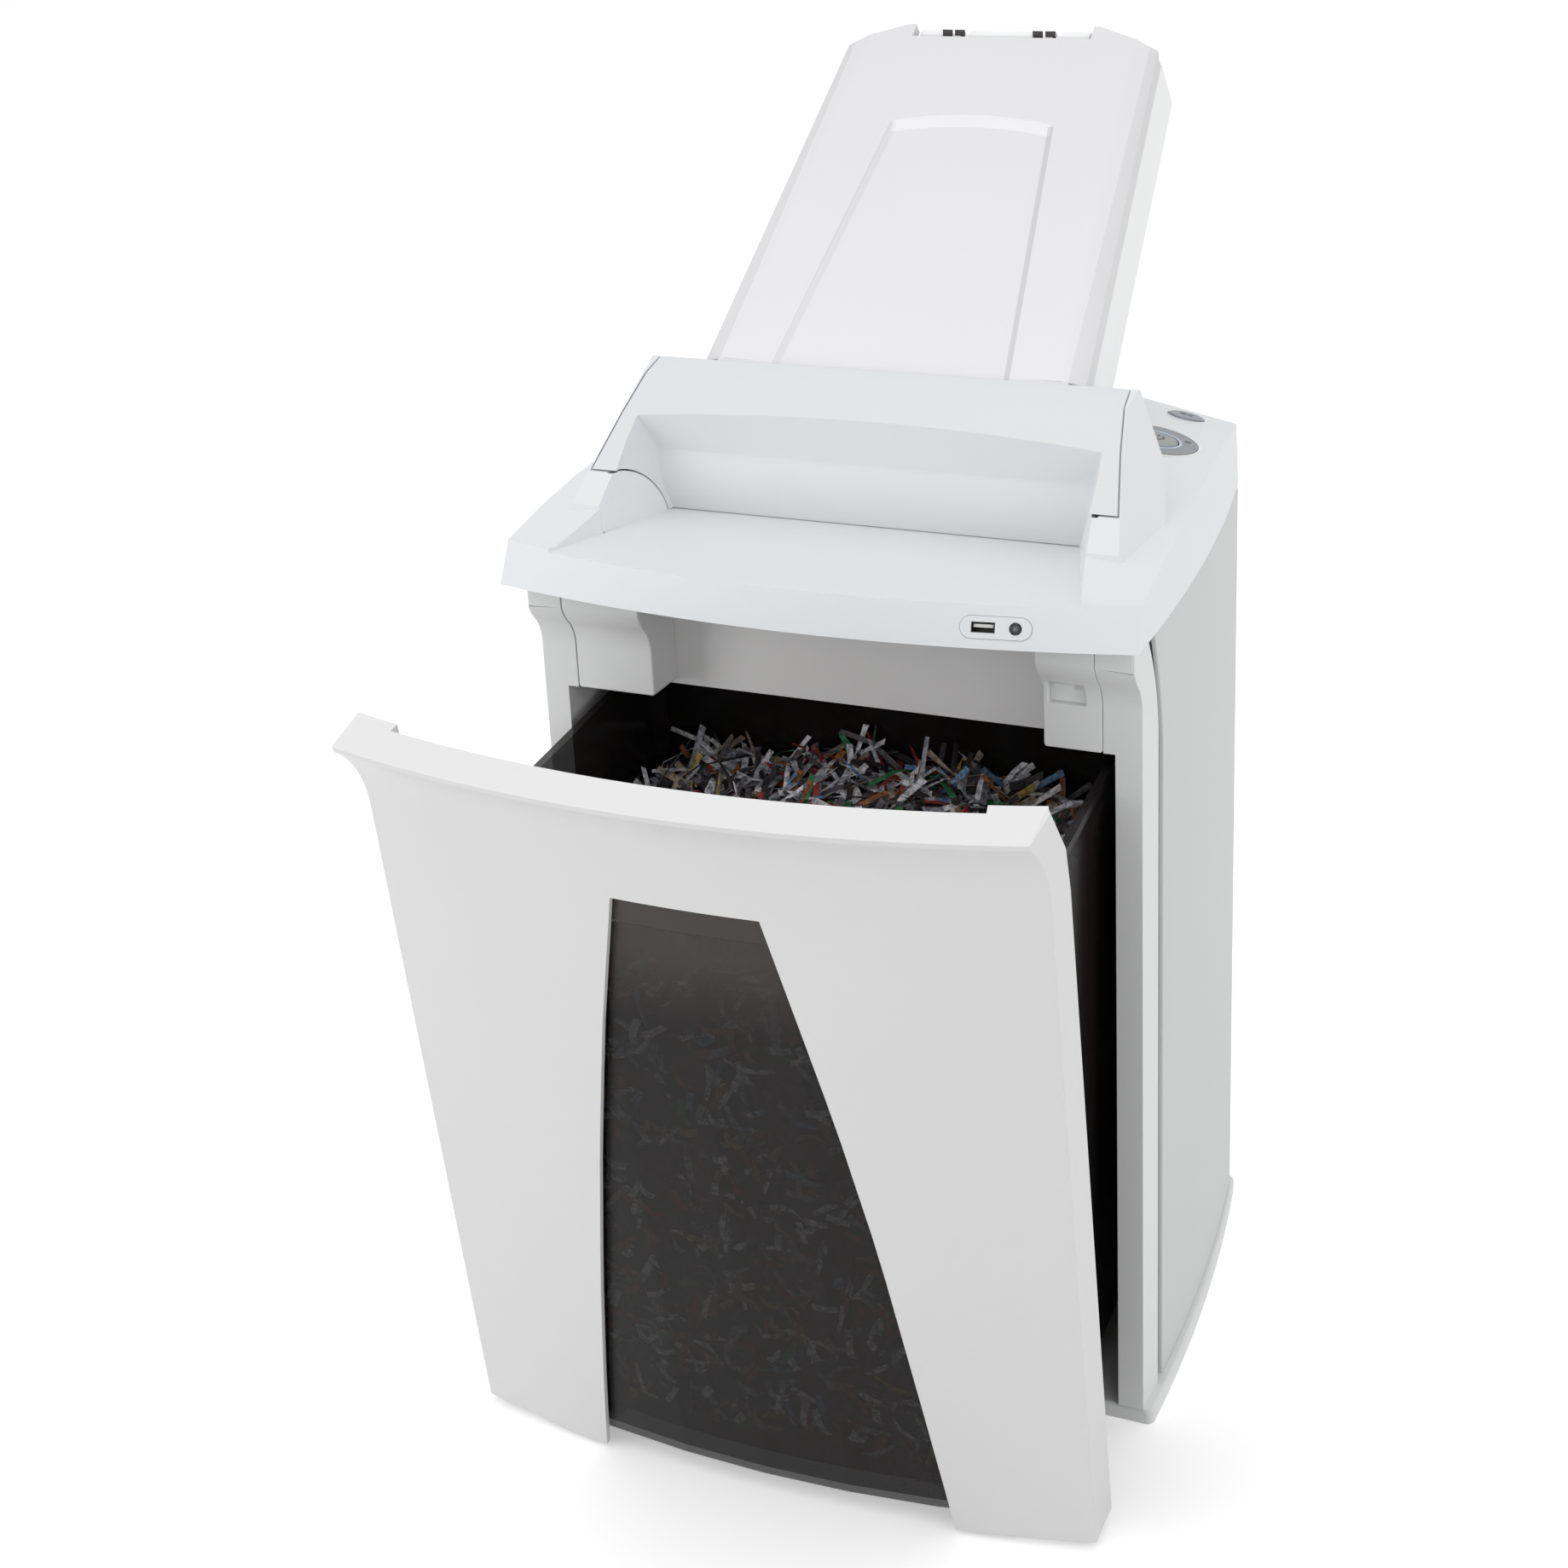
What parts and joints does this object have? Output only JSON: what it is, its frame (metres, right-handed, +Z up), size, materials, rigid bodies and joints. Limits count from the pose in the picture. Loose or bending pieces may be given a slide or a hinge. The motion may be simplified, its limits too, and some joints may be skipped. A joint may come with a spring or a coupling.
{
  "type": "paper shredder",
  "caption": "Upright office paper shredder with a tipping feed flap, a hinged sloped paper tray, geared cutter rollers and a front bin that draws out and tips forward.",
  "frame": {"origin": "centre of the cabinet's footprint, on the floor", "axes": "+X to the viewer's right, +Y to the back, +Z up"},
  "size_m": [0.401, 0.5841, 0.7974],
  "materials": {
    "white_plastic": "fine matt moulding",
    "grey_plastic": "satin",
    "black_plastic": "satin",
    "smoked_plastic": "smoked, see-through",
    "rubber": "matt",
    "steel": "bright",
    "bronze": "plain",
    "motor_shell": "satin black",
    "board": "coated board",
    "paper": "loose printed strips"
  },
  "bodies": {
    "cabinet": {"base_plate": "white_plastic", "front_column_left": "white_plastic", "front_column_right": "white_plastic", "side_panel_left": "white_plastic", "side_panel_right": "white_plastic", "rear_panel": "white_plastic", "catch_block_left": "white_plastic", "catch_block_right": "white_plastic", "cutter_wall": "white_plastic", "head_shell": "white_plastic", "tray_base": "white_plastic", "port_plate": "white_plastic", "control_bezel": "grey_plastic", "power_inlet": "black_plastic", "bin_sensor": "black_plastic", "cutter_floor": "black_plastic", "throat_guide": "black_plastic", "rubber_pads": "rubber", "flap_pins": "steel", "tray_hinge_pin": "steel", "cutter_plate_left": "steel", "cutter_plate_right": "steel", "cutter_comb_front": "steel", "cutter_comb_rear": "steel", "tie_rods": "steel", "idler_axle": "steel", "rear_screws": "steel", "usb_socket": "steel", "shaft_bushes": "bronze", "cutter_motor": "motor_shell", "feed_motor": "motor_shell", "control_board": "board"},
    "feed_flap": {"feed_flap": "white_plastic"},
    "tray_lid": {"tray_lid": "white_plastic"},
    "power_button": {"power_button": "grey_plastic"},
    "reverse_button": {"reverse_button": "grey_plastic"},
    "release_button": {"release_button": "black_plastic"},
    "cutter_front": {"cutter_roller_front": "steel", "sync_gear_front": "steel"},
    "cutter_rear": {"cutter_roller_rear": "steel", "sync_gear_rear": "steel", "drive_gear": "steel"},
    "idler": {"idler_gear": "steel"},
    "motor_rotor": {"motor_shaft": "steel", "motor_pinion": "steel"},
    "feed_roller": {"feed_shaft": "steel", "feed_tyres": "rubber"},
    "bin_glides": {"bin_glide_bar": "steel", "bin_skid_left": "black_plastic", "bin_skid_right": "black_plastic"},
    "bin": {"bin_tub": "smoked_plastic", "bin_lugs": "black_plastic", "front_panel": "white_plastic", "paper_shreds": "paper"}
  },
  "joints": [
    {"name": "flap_tip", "type": "hinge", "parent": "cabinet", "child": "feed_flap", "pos_m": [0, -0.107, 0.54], "axis": [1, 0, 0], "range_deg": [0, 48]},
    {"name": "lid_lift", "type": "hinge", "parent": "cabinet", "child": "tray_lid", "pos_m": [0, 0.17559, 0.78869], "axis": [-1, 0, 0], "range_deg": [0, 55]},
    {"name": "power_press", "type": "slide", "parent": "cabinet", "child": "power_button", "axis": [-0.2053, -0.0412, -0.9778], "range_m": [0, 0.0015], "stiffness_N_per_m": 800, "springref_m": -0.0005},
    {"name": "reverse_press", "type": "slide", "parent": "cabinet", "child": "reverse_button", "axis": [-0.203, -0.1549, -0.9668], "range_m": [0, 0.0015], "stiffness_N_per_m": 800, "springref_m": -0.0005},
    {"name": "release_press", "type": "slide", "parent": "cabinet", "child": "release_button", "axis": [-0.134, 0.9179, -0.3736], "range_m": [0, 0.0009], "stiffness_N_per_m": 500, "springref_m": -0.0005},
    {"name": "cutter_rear_spin", "type": "hinge", "parent": "cabinet", "child": "cutter_rear", "pos_m": [0, -0.012, 0.482], "axis": [1, 0, 0], "continuous": true},
    {"name": "cutter_front_spin", "type": "hinge", "parent": "cabinet", "child": "cutter_front", "pos_m": [0, -0.058, 0.482], "axis": [1, 0, 0], "continuous": true},
    {"name": "idler_spin", "type": "hinge", "parent": "cabinet", "child": "idler", "pos_m": [0, 0.048, 0.482], "axis": [1, 0, 0], "continuous": true},
    {"name": "motor_spin", "type": "hinge", "parent": "cabinet", "child": "motor_rotor", "pos_m": [0, 0.091, 0.482], "axis": [1, 0, 0], "continuous": true},
    {"name": "feed_spin", "type": "hinge", "parent": "cabinet", "child": "feed_roller", "pos_m": [0, -0.00576, 0.5666], "axis": [1, 0, 0], "continuous": true},
    {"name": "bin_pull", "type": "slide", "parent": "cabinet", "child": "bin_glides", "axis": [0, 1, 0], "range_m": [0, 0.093]},
    {"name": "bin_tilt", "type": "hinge", "parent": "bin_glides", "child": "bin", "pos_m": [0, -0.243, 0.011], "axis": [-1, 0, 0], "range_deg": [0, 8]}
  ],
  "couplings": [
    {"joint": "cutter_front_spin", "follows": "cutter_rear_spin", "ratio": -1},
    {"joint": "idler_spin", "follows": "cutter_rear_spin", "ratio": -1},
    {"joint": "motor_spin", "follows": "cutter_rear_spin", "ratio": 2.3077},
    {"joint": "bin_tilt", "follows": "bin_pull", "rad_per_m": 1.5013}
  ]
}
